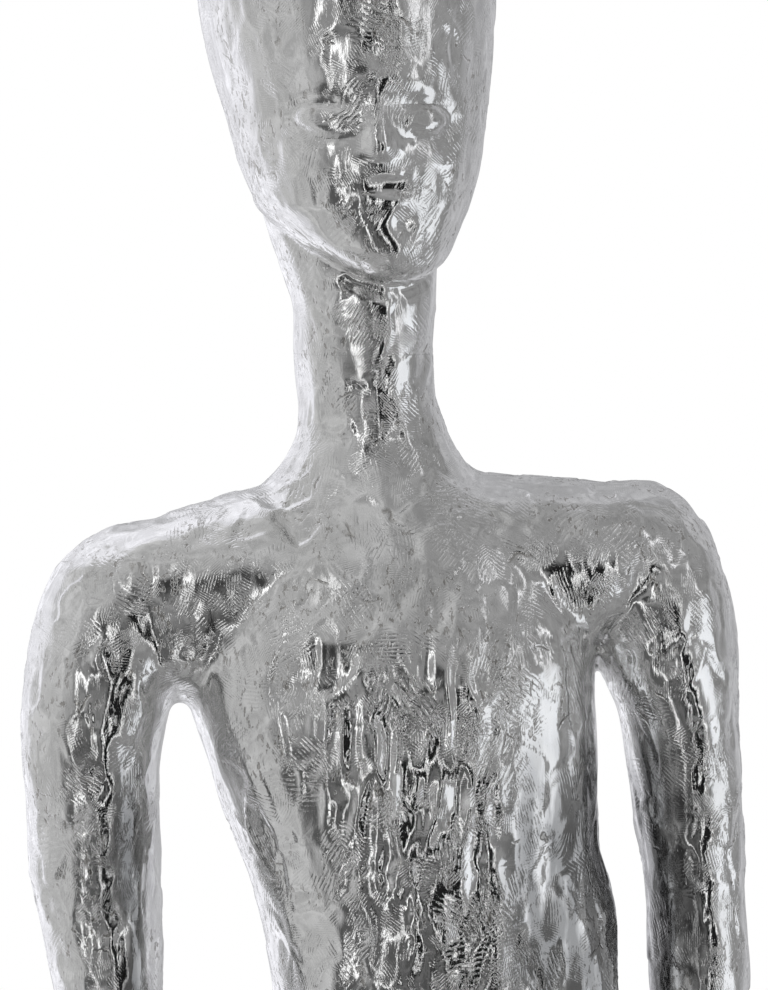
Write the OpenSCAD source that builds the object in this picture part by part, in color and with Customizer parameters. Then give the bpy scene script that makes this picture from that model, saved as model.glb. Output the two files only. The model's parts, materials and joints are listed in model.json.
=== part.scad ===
// Full body shop mannequin: hollow moulded shells with metal joint fittings,
// standing on a round steel base with a support rod inside the left leg.
// Z is up, the figure faces -Y and its left side is +X. The origin is the
// centre of the underside of the base pads. Sizes are in millimetres.

/* [Figure] */
// Height of the crown above the floor
figure_height = 1860; // [1760:5:1960]
// Thickness of the moulded shell
shell_wall = 4; // [3:0.5:6]
// Thickness of the flat wall that closes a shell at a joint
end_wall = 5; // [4:0.5:6]
// Slope of the two shoulder joints, from horizontal
shoulder_slope = 36; // [32:1:40]

/* [Base] */
// Diameter of the base plate
base_d = 400; // [380:5:480]
// Thickness of the base plate
plate_t = 8; // [8:0.5:12]
// Height of the rubber pads under the plate
pad_h = 4; // [3:0.5:6]
// Number of rubber pads
pad_count = 6; // [4:1:8]

/* [Support rod] */
// Diameter of the rod
rod_d = 12; // [12:0.5:14]
// Height of the top of the rod above the floor
rod_top = 188; // [170:1:195]

/* [Fits] */
// Gap between two shells at a joint
joint_gap = 0.4; // [0.3:0.1:0.8]
// Clearance on the radius of every pin and journal
pin_play = 0.05; // [0.02:0.01:0.09]
// Clearance between the soles and the base plate
sole_gap = 0.4; // [0.3:0.1:0.8]

/* [Hidden] */
DESIGN_HEIGHT = 1860;
DESIGN_BASE = 12;
// Every node by its own name

RIGHT = -1;
LEFT = 1;
BIG = 1200;
ROUND_FN = 64;
HOLE_FN = 32;
RING_SIDES = 22;
HOLLOW_SIDES = 14;

skin_color = "silver";
steel_color = "lightsteelblue";
dark_steel_color = "slategray";
rubber_color = "dimgray";
magnet_color = "gainsboro";

base_top = pad_h + plate_t;
sole_z = base_top + sole_gap;
k = (figure_height - base_top) / (DESIGN_HEIGHT - DESIGN_BASE);
half_gap = joint_gap / 2;

// A place on the figure, scaled about the top of the base
function at_body(p) = [p[0] * k, p[1] * k, base_top + (p[2] - DESIGN_BASE) * k];

// Joint places: the middle of each cut through the figure
neck_at = at_body([-10, 4, 1556]);
waist_at = at_body([41, -7, 1176]);
right_shoulder_at = at_body([-162, 0, 1373]);
left_shoulder_at = at_body([170, 0, 1391.5]);
right_armpit_x = -119 * k;
left_armpit_x = 133 * k;
right_wrist_at = at_body([-166, -44, 886]);
left_wrist_at = at_body([221, -40, 902]);
thigh_at = at_body([-38, 4, 842]);
rod_x = 58 * k;
rod_y = 20 * k;

// Turn of each forearm from vertical, about X and about Y
right_wrist_tilt = [-10, -1];
left_wrist_tilt = [-9, 6];

// Fitting sizes: [hub radius, pin radius, flange radius, screw circle radius, screw shank radius]
joint_fit = [20, 10, 30, 26, 2];
thigh_fit = [30, 14, 46, 38, 2.5];
wrist_fit = [9, 5, 12.8, 0, 0];
hub_play = 0.3;
flange_t = 4;
boss_depth = 34;
pin_depth = 30;
wrist_boss_depth = 24;
wrist_pin_depth = 20;
screw_play = 0.1;
screw_count = 3;
first_screw = 90;
screw_head_t = 2.4;
head_recess = 2.8;
wall_reach = 12;
boss_wall = 5;
pin_tip = 2;
magnet_r = 3;
magnet_t = 3;
magnet_pitch_r = 15;
magnet_angles = [30, 210];

waist_hub_r = 52;
waist_flange_r = 64;
waist_screw_r = 58;
rotor_r = 44;
rotor_t = 6;
rotor_journal_r = 14;
rotor_journal_len = 40;
rotor_play = 0.3;
waist_boss_depth = 48;
peg_r = 6;
peg_len = 26;
peg_x = 28;

rim_bevel = 2;
pad_r = 13;
pad_rim_gap = 9;
bushing_r = 12;
bushing_top = 34;
bushing_flange_r = 24;
bushing_flange_t = 3;
bushing_screw_r = 18;
bushing_shank_r = 1.5;
bushing_head_r = 3;
bushing_head_t = 1.5;
retainer_r = 10;
retainer_t = 2;
rod_bottom = pad_h + 2.4;
socket_r = 10;
socket_bottom = 38;
socket_top = 194;
socket_flange_r = 20;
socket_flange_z = [108, 182];
set_screw_z = 66;
set_screw_r = 4;
set_screw_len = 21;
set_screw_boss_r = 8;
set_screw_boss_len = 26;
sole_hole_r = 13.5;

wrist_tang = 21;
thigh_boss_depth = 40;
thigh_pin_depth = 36;

plunger_r = 3.5;
plunger_drop = 22;
plunger_travel = 5;
groove_depth = 3;
groove_play = 0.4;
collar_t = 2;
collar_wall = 2.5;
collar_at = 42;
knob_at = 74 * k;
knob_r = 7;
knob_t = 9;
spring_turns = 5;
spring_pitch = 2.6;

// ---- Lofts -------------------------------------------------------------

// Signed power, which squares off the sides of an ellipse when power > 2
function lobe(c, power) = sign(c) * pow(abs(c), 2 / power);

// A station is [along, u, v, half_u, half_v, power]
function scaled(stations) = [
    for (s = stations) [base_top + (s[0] - DESIGN_BASE) * k, s[1] * k, s[2] * k, s[3] * k, s[4] * k, s[5]]
];

// The same for a loft that runs along X or Y: only its Z values are lifted
function scaled_x(stations) = [
    for (s = stations) [s[0] * k, s[1] * k, base_top + (s[2] - DESIGN_BASE) * k, s[3] * k, s[4] * k, s[5]]
];
function scaled_y(stations) = [
    for (s = stations) [s[0] * k, base_top + (s[1] - DESIGN_BASE) * k, s[2] * k, s[3] * k, s[4] * k, s[5]]
];

function slope(st, i) =
    let (a = st[max(i - 1, 0)], b = st[min(i + 1, len(st) - 1)])
    (b - a) / (b[0] - a[0]);

function between(st, i, t) =
    let (a = st[i], b = st[i + 1], h = b[0] - a[0])
    a * (2 * t * t * t - 3 * t * t + 1) + slope(st, i) * h * (t * t * t - 2 * t * t + t)
    + b * (3 * t * t - 2 * t * t * t) + slope(st, i + 1) * h * (t * t * t - t * t);

// Stations with rings blended in between, about one every step
function blended(st, step) = concat(
    [
        for (i = [0 : len(st) - 2])
            let (n = max(1, round(abs(st[i + 1][0] - st[i][0]) / step)))
            for (j = [0 : n - 1]) between(st, i, j / n)
    ],
    [st[len(st) - 1]]
);

// Stations drawn in by a wall thickness
function inset(st, wall) = [
    for (s = st) [s[0], s[1], s[2], max(s[3] - wall, 1), max(s[4] - wall, 1), s[5]]
];

// One ring of points in the plane across the loft
function ring(s, sides) = [
    for (i = [0 : sides - 1])
        let (a = 360 * i / sides)
        [s[1] + s[3] * lobe(cos(a), s[5]), s[2] + s[4] * lobe(sin(a), s[5])]
];

// Axis 0 runs the loft along X, 1 along Y and 2 along Z
function lift(q, along, axis) =
    axis == 0 ? [along, q[0], q[1]] : axis == 1 ? [q[1], along, q[0]] : [q[0], q[1], along];

module loft(stations, step = 30, axis = 2, sides = RING_SIDES) {
    rings = blended(stations, step);
    count = len(rings);
    points = [for (s = rings) for (q = ring(s, sides)) lift(q, s[0], axis)];
    walls = [
        for (r = [0 : count - 2])
            for (i = [0 : sides - 1])
                let (a = r * sides + i, b = r * sides + (i + 1) % sides)
                for (f = [[a, a + sides, b], [b, a + sides, b + sides]]) f
    ];
    first = [for (i = [0 : sides - 1]) i];
    last = [for (i = [sides - 1 : -1 : 0]) (count - 1) * sides + i];
    polyhedron(points, concat(walls, [first, last]));
}

// ---- The figure's outlines ---------------------------------------------

torso_st = [
    [1150, 43, -6, 110, 78, 2.3],
    [1188, 42.5, -8, 108, 77, 2.3],
    [1219, 35.5, -9, 105.5, 78, 2.3],
    [1270, 20, -8, 105, 84, 2.3],
    [1325, 11, -4, 114.5, 92, 2.4],
    [1356, 5.5, 0, 118.5, 95, 2.5],
    [1400, 5, 4, 118, 92, 2.5],
    [1440, 3, 8, 104, 80, 2.3],
    [1466, -1, 10, 80, 68, 2.1],
    [1488, -4, 11, 56, 56, 2],
    [1504, -5, 10, 45, 50, 2],
    [1528, -7, 8, 39.5, 46, 2],
    [1580, -10, 4, 42, 49, 2]
];

yoke_st = [
    [-194, 2, 1412, 6, 5, 2],
    [-188, 1, 1414, 26, 19, 2],
    [-172, 0, 1416, 42, 33, 2.1],
    [-150, 0, 1417, 50, 41, 2.2],
    [-118, 2, 1411, 58, 56, 2.2],
    [-70, 6, 1418, 66, 60, 2.2],
    [0, 8, 1426, 70, 56, 2.2],
    [70, 6, 1428, 66, 57, 2.2],
    [118, 2, 1434, 58, 49, 2.2],
    [146, 0, 1439, 50, 42, 2.2],
    [171, 0, 1438, 43, 34, 2.1],
    [192, 1, 1434, 28, 20, 2],
    [199, 2, 1431, 6, 5, 2]
];

right_arm_st = [
    [870, -166, -47, 20, 26, 2.1],
    [886, -166, -44, 20, 26, 2.1],
    [930, -165, -37, 23, 27, 2.1],
    [1000, -163, -24, 28, 32, 2.1],
    [1070, -161, -10, 32, 36, 2.1],
    [1130, -160, 0, 30, 36, 2.1],
    [1187, -160, 3, 31, 39, 2.1],
    [1250, -166.5, 3, 35.5, 43, 2.1],
    [1320, -170.5, 2, 40.5, 49, 2.1],
    [1354, -167, 1, 43.5, 53, 2.1],
    [1391, -160, 0, 45, 55, 2.1],
    [1414, -155, 0, 43, 51, 2.1],
    [1436, -150, 0, 36, 41, 2],
    [1450, -146, 0, 25, 29, 2],
    [1457, -144, 0, 12, 14, 2]
];

left_arm_st = [
    [886, 223, -43, 20, 26, 2.1],
    [902, 221, -40, 20, 26, 2.1],
    [945, 217, -34, 23, 27, 2.1],
    [1015, 209, -22, 27, 32, 2.1],
    [1085, 200, -9, 30, 36, 2.1],
    [1150, 191, 0, 28, 36, 2.1],
    [1212, 187.5, 3, 28, 38, 2.1],
    [1290, 182, 3, 31, 43, 2.1],
    [1345, 176, 2, 34.5, 50, 2.1],
    [1376, 168, 1, 41.5, 53, 2.1],
    [1395, 165, 1, 43, 53, 2.1],
    [1420, 161, 0, 42.5, 53, 2.1],
    [1450, 155, 0, 39, 45, 2],
    [1470, 150, 0, 29, 32, 2],
    [1482, 146, 0, 13, 15, 2]
];

// The head leans a little to its right; its lower stations are the chin
head_st = [
    [1599, 1, -62, 14, 18, 2],
    [1604, -2, -56, 26, 34, 2],
    [1616, -9, -45, 41.5, 53, 2],
    [1640, -16, -29, 60, 75, 2.1],
    [1664, -16, -20, 69, 88, 2.1],
    [1700, -18, -12, 76.5, 98, 2.1],
    [1740, -21, -7, 84, 104, 2.1],
    [1775, -23, -6, 86, 103, 2.1],
    [1806, -25, -6, 80, 95, 2.1],
    [1832, -26, -6, 64, 78, 2],
    [1850, -27, -6, 43, 53, 2],
    [1860, -28, -6, 16, 20, 2]
];

nape_st = [
    [1530, -8, 8, 39.5, 45.5, 2],
    [1556, -9, 5, 40, 47, 2],
    [1584, -10, 4, 42, 48, 2],
    [1612, -13.5, 5, 47.5, 49, 2],
    [1640, -17, 6, 53, 50, 2],
    [1664, -17, 6, 50, 47, 2]
];

nose_st = [
    [1666, -15, -104, 7, 8, 2],
    [1671, -16, -106, 10, 12, 2],
    [1683, -17, -106, 7.5, 10, 2],
    [1714, -19, -104, 5, 6, 2]
];

pelvis_st = [
    [868, 39, 8, 112, 62, 2.3],
    [884, 39, 8, 131, 84, 2.4],
    [920, 39, 9, 139, 97, 2.4],
    [985, 39, 10, 140, 104, 2.4],
    [1050, 41, 6, 133, 98, 2.4],
    [1110, 43, -1, 121, 87, 2.3],
    [1150, 43, -6, 110, 78, 2.3],
    [1188, 42.5, -8, 108, 77, 2.3],
    [1219, 35.5, -9, 105.5, 78, 2.3]
];

left_leg_st = [
    [40, 58, 20, 27, 36, 2.1],
    [70, 58, 19, 28, 34, 2.1],
    [110, 58, 20, 27.5, 31, 2.1],
    [190, 61, 20, 32, 35, 2.1],
    [290, 66, 17, 44, 48, 2.1],
    [370, 70, 12, 49, 55, 2.1],
    [450, 74, 0, 44, 50, 2.1],
    [510, 77, -6, 46, 52, 2.1],
    [580, 83, -7, 52, 57, 2.1],
    [680, 92, -3, 62, 69, 2.1],
    [790, 104, 1, 68, 82, 2.1],
    [880, 112, 5, 69, 90, 2.1],
    [960, 112, 8, 66, 88, 2.1]
];

right_leg_st = [
    [40, -64, 12, 27, 36, 2.1],
    [70, -64, 10, 28, 34, 2.1],
    [110, -63, 9, 27.5, 31, 2.1],
    [190, -61, 4, 32, 35, 2.1],
    [290, -58, -4, 44, 48, 2.1],
    [370, -55, -14, 49, 55, 2.1],
    [450, -52, -29, 44, 50, 2.1],
    [510, -50, -36, 46, 52, 2.1],
    [580, -48, -35, 52, 57, 2.1],
    [680, -45, -22, 62, 69, 2.1],
    [790, -41, -6, 68, 81, 2.1],
    [842, -38, 4, 69, 87, 2.1],
    [880, -36, 6, 69, 90, 2.1],
    [960, -34, 8, 66, 88, 2.1]
];

// A foot runs along Y from its toes to its heel, with the ankle over x = 0
foot_st = [
    [-172, 20, 10, 8, 22, 2.3],
    [-163, 23, 8, 13, 34, 2.3],
    [-138, 27, 4, 18, 43, 2.4],
    [-105, 32, 1, 25, 46, 2.4],
    [-65, 40, 0, 36, 42, 2.3],
    [-28, 50, 0, 48, 37, 2.2],
    [10, 56, 0, 54, 33, 2.1],
    [34, 50, 0, 46, 31, 2.1],
    [48, 40, 0, 32, 24, 2],
    [56, 34, 0, 16, 12, 2]
];

// The hand hangs along its own Z, with the thumb side at +X
palm_st = [
    [-12, 0, 0, 26, 20, 2.1],
    [0, 0, 0, 26, 20, 2.1],
    [30, 1, 0, 30, 18, 2.2],
    [62, 2, 1, 38, 16, 2.4],
    [92, 1, 2, 42, 13, 2.6],
    [104, 0, 3, 40, 10, 2.6]
];

// Finger rows: [x at the knuckle, x at the tip, length, half width]
fingers = [[31, 35, 70, 9.6], [10.5, 12, 79, 9.8], [-10, -11, 73, 9.5], [-29.5, -33, 56, 8.6]];
knuckle_z = 90;
curl = 13;

// ---- Joint frames: local Z points from the parent towards the child ----

module at_neck() translate(neck_at) children();
module at_waist() translate(waist_at) children();
module at_thigh() translate(thigh_at) rotate([180, 0, 0]) children();

module at_shoulder(side) {
    where = side == LEFT ? left_shoulder_at : right_shoulder_at;
    translate(where) rotate([0, side * (180 - shoulder_slope), 0]) children();
}

// At a wrist, local X is the thumb's side, to the front
module at_wrist(side) {
    where = side == LEFT ? left_wrist_at : right_wrist_at;
    tilt = side == LEFT ? left_wrist_tilt : right_wrist_tilt;
    translate(where) rotate([180 + tilt[0], -tilt[1], 0]) rotate([0, 0, 90]) children();
}

module beyond(d) translate([-BIG, -BIG, d]) cube(2 * BIG);
module before(d) translate([-BIG, -BIG, d - 2 * BIG]) cube(2 * BIG);

// The arm's side of the shoulder cut, d beyond it, and outside the armpit
module arm_space(side, d) {
    edge = side == LEFT ? left_armpit_x + d : right_armpit_x - d;
    intersection() {
        at_shoulder(side) beyond(d);
        translate([side == LEFT ? edge : edge - 2 * BIG, -BIG, 0]) cube(2 * BIG);
    }
}

// ---- Hub and screw holes in the shells' end walls ----------------------

module hub_hole(hub_r) {
    translate([0, 0, -wall_reach]) cylinder(r = hub_r + hub_play, h = 2 * wall_reach, $fn = HOLE_FN);
}

// Facing says which way the screws enter: 1 for the child's wall, -1 for the parent's
module screw_holes(circle_r, shank_r, facing) {
    for (i = [0 : screw_count - 1])
        rotate([0, 0, first_screw + 360 * i / screw_count]) translate([circle_r, 0, 0]) {
            translate([0, 0, -wall_reach]) cylinder(r = shank_r + hub_play, h = 2 * wall_reach, $fn = 12);
            translate([0, 0, facing > 0 ? -1 : -head_recess])
                cylinder(r = 2 * shank_r + hub_play, h = head_recess + 1, $fn = 12);
        }
}

module fitting_holes(fit, facing) {
    hub_hole(fit[0]);
    screw_holes(fit[3], fit[4], facing);
}

// ---- Shells ------------------------------------------------------------

// An outline's outer skin when wall is 0, and otherwise the coarser hollow inside it,
// which leaves out the given number of stations at each closed end
module form(stations, wall, step, ends, axis = 2) {
    kept = [for (i = [ends[0] : len(stations) - 1 - ends[1]]) stations[i]];
    if (wall > 0) loft(inset(kept, wall), 2 * step, axis, HOLLOW_SIDES);
    else loft(stations, step, axis);
}

// Outlines with a wall taken off, for the hollow of each shell
module torso_form(wall) {
    form(scaled(torso_st), wall, 28, [0, 0]);
    form(scaled_x(yoke_st), wall, 34, [1, 1], 0);
}

module arm_form(side, wall) {
    st = side == LEFT ? left_arm_st : right_arm_st;
    form(scaled(st), wall, 40, [0, 1]);
}

module head_form(wall) {
    form(scaled(head_st), wall, 20, [1, 1]);
    form(scaled(nape_st), wall, 30, [0, 0]);
}

module foot_form(turn, x, y, wall) {
    intersection() {
        translate([x, y, 0]) rotate([0, 0, turn]) form(scaled_y(foot_st), wall, 30, [1, 1], 1);
        beyond(sole_z + wall);
    }
}

module left_lower_form(wall) {
    form(scaled(pelvis_st), wall, 34, [1, 0]);
    intersection() {
        form(scaled(left_leg_st), wall, 50, [0, 0]);
        beyond(sole_z + wall);
    }
    foot_form(8, rod_x, rod_y - 6, wall);
}

module right_leg_form(wall) {
    intersection() {
        form(scaled(right_leg_st), wall, 50, [0, 0]);
        beyond(sole_z + wall);
    }
    foot_form(-12, -64 * k, 8, wall);
}

// The upper body between its four cuts, each moved inwards by d
module torso_block(wall, d) {
    difference() {
        intersection() {
            union() {
                torso_form(wall);
                for (side = [RIGHT, LEFT]) intersection() {
                    arm_form(side, wall);
                    at_shoulder(side) before(-d);
                }
            }
            at_waist() beyond(d);
            at_neck() before(-d);
        }
        for (side = [RIGHT, LEFT]) arm_space(side, -d);
    }
}

module torso_shell() {
    color(skin_color) resize([0, 0, 0]) difference() {
        torso_block(0, half_gap);
        torso_block(shell_wall, half_gap + end_wall);
        at_waist() {
            hub_hole(waist_hub_r);
            screw_holes(waist_screw_r, joint_fit[4], 1);
        }
        at_neck() fitting_holes(joint_fit, -1);
        for (side = [RIGHT, LEFT]) at_shoulder(side) fitting_holes(joint_fit, -1);
    }
}

module arm_shell(side) {
    color(skin_color) resize([0, 0, 0]) difference() {
        intersection() {
            union() {
                arm_form(side, 0);
                form(scaled_x(yoke_st), 0, 34, [1, 1], 0);
            }
            arm_space(side, half_gap);
            at_wrist(side) before(-half_gap);
        }
        intersection() {
            arm_form(side, shell_wall);
            arm_space(side, half_gap + end_wall);
            at_wrist(side) before(-half_gap - end_wall);
        }
        at_shoulder(side) fitting_holes(joint_fit, 1);
        at_wrist(side) hub_hole(wrist_fit[0]);
    }
}

module head_shell() {
    color(skin_color) resize([0, 0, 0]) difference() {
        intersection() {
            union() {
                head_form(0);
                loft(scaled(nose_st), 12, 2, 16);
            }
            at_neck() beyond(half_gap);
        }
        intersection() {
            head_form(shell_wall);
            at_neck() beyond(half_gap + end_wall);
        }
        at_neck() fitting_holes(joint_fit, 1);
    }
}

// The right thigh above its cut stays with the hips
module thigh_stub(wall) {
    intersection() {
        form(scaled(right_leg_st), wall, 50, [0, 0]);
        at_thigh() before(-half_gap - (wall > 0 ? end_wall : 0));
    }
}

module hips_left_leg_shell() {
    color(skin_color) resize([0, 0, 0]) difference() {
        intersection() {
            union() {
                left_lower_form(0);
                thigh_stub(0);
            }
            at_waist() before(-half_gap);
        }
        intersection() {
            union() {
                left_lower_form(shell_wall);
                thigh_stub(shell_wall);
            }
            at_waist() before(-half_gap - end_wall);
        }
        at_waist() {
            hub_hole(waist_hub_r);
            screw_holes(waist_screw_r, joint_fit[4], -1);
        }
        at_thigh() fitting_holes(thigh_fit, -1);
        translate([rod_x, rod_y, 0]) cylinder(r = sole_hole_r, h = socket_bottom + 2, $fn = ROUND_FN);
        translate([rod_x, rod_y, set_screw_z]) rotate([-90, 0, 0])
            cylinder(r = set_screw_r + 1, h = 80, $fn = 32);
        at_thigh() at_plunger() cylinder(r = plunger_r + groove_play, h = 100, $fn = 32);
    }
}

module right_leg_shell() {
    color(skin_color) resize([0, 0, 0]) difference() {
        intersection() {
            right_leg_form(0);
            at_thigh() beyond(half_gap);
        }
        intersection() {
            right_leg_form(shell_wall);
            at_thigh() beyond(half_gap + end_wall);
        }
        at_thigh() fitting_holes(thigh_fit, 1);
    }
}

module finger(row) {
    tip_z = knuckle_z + row[2];
    loft([
        [knuckle_z - 20, row[0] * 0.9, 2, row[3] * 0.8, 8, 2],
        [knuckle_z, row[0], 3, row[3], 9.5, 2.1],
        [knuckle_z + row[2] * 0.5, (row[0] + row[1]) / 2, 3 + curl * 0.3, row[3] * 0.94, 8.6, 2.1],
        [knuckle_z + row[2] * 0.85, row[1], 3 + curl * 0.85, row[3] * 0.8, 7, 2],
        [tip_z, row[1], 3 + curl, row[3] * 0.35, 3, 2]
    ], 14, 2, 12);
}

module thumb() {
    loft([
        [10, 16, 0, 12, 11, 2],
        [34, 30, 2, 14, 12, 2],
        [62, 47, 6, 11, 10.5, 2],
        [92, 55, 10, 9.5, 9, 2],
        [110, 57, 13, 7.5, 7, 2],
        [120, 57, 14, 3, 3, 2]
    ], 14, 2, 14);
}

// A left hand in the wrist's frame, with its palm towards +Y
module hand_casting() {
    difference() {
        intersection() {
            union() {
                loft(palm_st, 18, 2, 20);
                for (row = fingers) finger(row);
                thumb();
            }
            beyond(half_gap);
        }
        translate([0, 0, -1]) cylinder(r = wrist_fit[0] + hub_play, h = end_wall + 1.2, $fn = 48);
        translate([0, 0, -1]) cylinder(r = wrist_fit[1] + hub_play, h = wrist_tang + 2, $fn = 48);
    }
}

module hand(side) {
    color(skin_color) resize([0, 0, 0]) at_wrist(side)
        if (side == LEFT) hand_casting();
        else mirror([0, 1, 0]) hand_casting();
}

// ---- Joint fittings, in the joint's own frame --------------------------

// The parent's half: a hub through the end wall, a flange inside it and a bored boss
module socket(fit, depth) {
    hub_r = fit[0];
    face = -half_gap;
    difference() {
        union() {
            translate([0, 0, face - end_wall]) cylinder(r = hub_r, h = end_wall, $fn = ROUND_FN);
            translate([0, 0, face - end_wall - flange_t]) cylinder(r = fit[2], h = flange_t, $fn = ROUND_FN);
            translate([0, 0, -depth]) cylinder(r = fit[1] + boss_wall, h = depth - end_wall + face, $fn = ROUND_FN);
        }
        translate([0, 0, -depth - 1]) cylinder(r = fit[1] + pin_play, h = depth + 2, $fn = ROUND_FN);
        if (fit[3] > 0) fitting_screw_bores(fit, face - end_wall - flange_t - 1);
        if (fit == joint_fit) magnet_seats(face - magnet_t, magnet_t + 1);
    }
}

// The child's half: a hub through the end wall, a flange inside it and the pin
module spigot(fit, depth) {
    face = half_gap;
    difference() {
        union() {
            translate([0, 0, face]) cylinder(r = fit[0], h = end_wall, $fn = ROUND_FN);
            translate([0, 0, face + end_wall]) cylinder(r = fit[2], h = flange_t, $fn = ROUND_FN);
            translate([0, 0, pin_tip - depth]) cylinder(r = fit[1], h = depth, $fn = ROUND_FN);
            translate([0, 0, -depth])
                cylinder(r1 = fit[1] - pin_tip, r2 = fit[1], h = pin_tip, $fn = ROUND_FN);
        }
        if (fit[3] > 0) fitting_screw_bores(fit, face + end_wall - 1);
        if (fit == joint_fit) magnet_seats(face - 1, magnet_t + 1);
    }
}

module fitting_screw_bores(fit, from) {
    for (i = [0 : screw_count - 1])
        rotate([0, 0, first_screw + 360 * i / screw_count]) translate([fit[3], 0, from])
            cylinder(r = fit[4] + screw_play, h = flange_t + 2, $fn = 24);
}

module magnet_seats(from, h) {
    for (a = magnet_angles)
        rotate([0, 0, a]) translate([magnet_pitch_r, 0, from]) cylinder(r = magnet_r, h = h, $fn = 32);
}

// Pan head screws that hold a flange to its end wall
module screws(circle_r, shank_r, facing) {
    color(dark_steel_color)
    for (i = [0 : screw_count - 1])
        rotate([0, 0, first_screw + 360 * i / screw_count])
            translate([circle_r, 0, 0]) rotate([facing > 0 ? 0 : 180, 0, 0]) difference() {
                union() {
                    translate([0, 0, half_gap + 0.2]) cylinder(r = 2 * shank_r, h = screw_head_t, $fn = 32);
                    translate([0, 0, half_gap + 0.4])
                        cylinder(r = shank_r, h = end_wall + flange_t + 3, $fn = 32);
                }
                cylinder(r = shank_r * 0.9, h = half_gap + 1.4, $fn = 6);
            }
}

module joint_screws(facing) screws(joint_fit[3], joint_fit[4], facing);

// Two disc magnets in the hub's face, on the child's side (1) or the parent's (-1)
module magnets(facing) {
    from = facing > 0 ? half_gap : -half_gap - magnet_t;
    color(magnet_color)
    for (a = magnet_angles)
        rotate([0, 0, a]) translate([magnet_pitch_r, 0, from])
            cylinder(r = magnet_r - 0.02, h = magnet_t, $fn = 32);
}

module neck_socket() color(steel_color) at_neck() socket(joint_fit, boss_depth);
module neck_spigot() color(steel_color) at_neck() spigot(joint_fit, pin_depth);
module shoulder_socket(side) color(steel_color) at_shoulder(side) socket(joint_fit, boss_depth);
module arm_spigot(side) color(steel_color) at_shoulder(side) spigot(joint_fit, pin_depth);

module wrist_socket(side) {
    color(steel_color) at_wrist(side) socket(wrist_fit, wrist_boss_depth);
}

// The hand's pin is cast into the palm
module wrist_spigot(side) {
    color(steel_color) at_wrist(side) union() {
        translate([0, 0, half_gap]) cylinder(r = wrist_fit[0], h = end_wall - 0.4, $fn = ROUND_FN);
        translate([0, 0, 1 - wrist_pin_depth])
            cylinder(r = wrist_fit[1], h = wrist_pin_depth + wrist_tang - 1, $fn = ROUND_FN);
        translate([0, 0, -wrist_pin_depth])
            cylinder(r1 = wrist_fit[1] - 1, r2 = wrist_fit[1], h = 1, $fn = ROUND_FN);
    }
}

// A disc magnet at the bottom of each wrist bore holds the steel pin
module wrist_magnet(side) {
    color(magnet_color) at_wrist(side) translate([0, 0, -wrist_boss_depth])
        cylinder(r = wrist_fit[1], h = magnet_t, $fn = 32);
}

// ---- Thigh fitting and its plunger -------------------------------------

// The plunger works across the pin, from the outside of the thigh
module at_plunger() translate([0, 0, -plunger_drop]) rotate([0, -90, 0]) children();

module thigh_socket() {
    color(steel_color) at_thigh() difference() {
        socket(thigh_fit, thigh_boss_depth);
        at_plunger() cylinder(r = plunger_r + pin_play, h = 40, $fn = 32);
    }
}

// The groove lets the leg turn while the plunger's tip keeps it from dropping
module thigh_spigot() {
    color(steel_color) at_thigh() difference() {
        spigot(thigh_fit, thigh_pin_depth);
        translate([0, 0, -plunger_drop - plunger_r - groove_play]) difference() {
            cylinder(r = thigh_fit[1] + 2, h = 2 * (plunger_r + groove_play), $fn = ROUND_FN);
            translate([0, 0, -1])
                cylinder(r = thigh_fit[1] - groove_depth, h = 2 * plunger_r + 3, $fn = ROUND_FN);
        }
    }
}

module thigh_plunger() {
    tip = thigh_fit[1] - groove_depth + groove_play;
    color(dark_steel_color) at_thigh() at_plunger() union() {
        translate([0, 0, tip]) cylinder(r = plunger_r, h = knob_at - tip + 1, $fn = 32);
        translate([0, 0, collar_at]) cylinder(r = plunger_r + collar_wall, h = collar_t, $fn = 32);
        translate([0, 0, knob_at]) cylinder(r = knob_r, h = knob_t - 1.5, $fn = 48);
        translate([0, 0, knob_at + knob_t - 1.5]) cylinder(r1 = knob_r, r2 = knob_r - 1.5, h = 1.5, $fn = 48);
    }
}

// The plunger's spring, as separate turns between the collar and the shell
module thigh_spring() {
    color(steel_color) at_thigh() at_plunger() for (i = [0 : spring_turns - 1])
        translate([0, 0, collar_at + plunger_travel + 3.4 + i * spring_pitch]) rotate_extrude($fn = 32)
            translate([plunger_r + 1.4, 0]) circle(r = 0.6, $fn = 16);
}

// ---- Base --------------------------------------------------------------

module base_plate() {
    color(steel_color) difference() {
        union() {
            translate([0, 0, pad_h]) cylinder(d = base_d, h = plate_t - rim_bevel, $fn = 128);
            translate([0, 0, base_top - rim_bevel])
                cylinder(d1 = base_d, d2 = base_d - 2 * rim_bevel, h = rim_bevel, $fn = 128);
        }
        translate([rod_x, rod_y, 0]) cylinder(r = bushing_r + pin_play, h = base_top + 1, $fn = ROUND_FN);
        translate([rod_x, rod_y, pad_h - 1])
            cylinder(r = bushing_flange_r + 0.1, h = bushing_flange_t + 1.02, $fn = ROUND_FN);
        translate([rod_x, rod_y, 0]) bushing_screw_spots()
            cylinder(r = bushing_shank_r + pin_play, h = base_top - 1, $fn = 24);
    }
}

module bushing_screw_spots() {
    for (i = [0 : screw_count - 1]) rotate([0, 0, 30 + 360 * i / screw_count])
        translate([bushing_screw_r, 0, 0]) children();
}

// One pad in the middle and a ring of them near the rim
module base_pads() {
    color(rubber_color) {
        pad();
        for (i = [0 : pad_count - 1]) rotate([0, 0, 360 * i / pad_count])
            translate([base_d / 2 - pad_r - pad_rim_gap, 0, 0]) pad();
    }
}

module pad() {
    cylinder(r1 = pad_r - 1, r2 = pad_r, h = 1, $fn = 40);
    translate([0, 0, 1]) cylinder(r = pad_r, h = pad_h - 1, $fn = 40);
}

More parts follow.
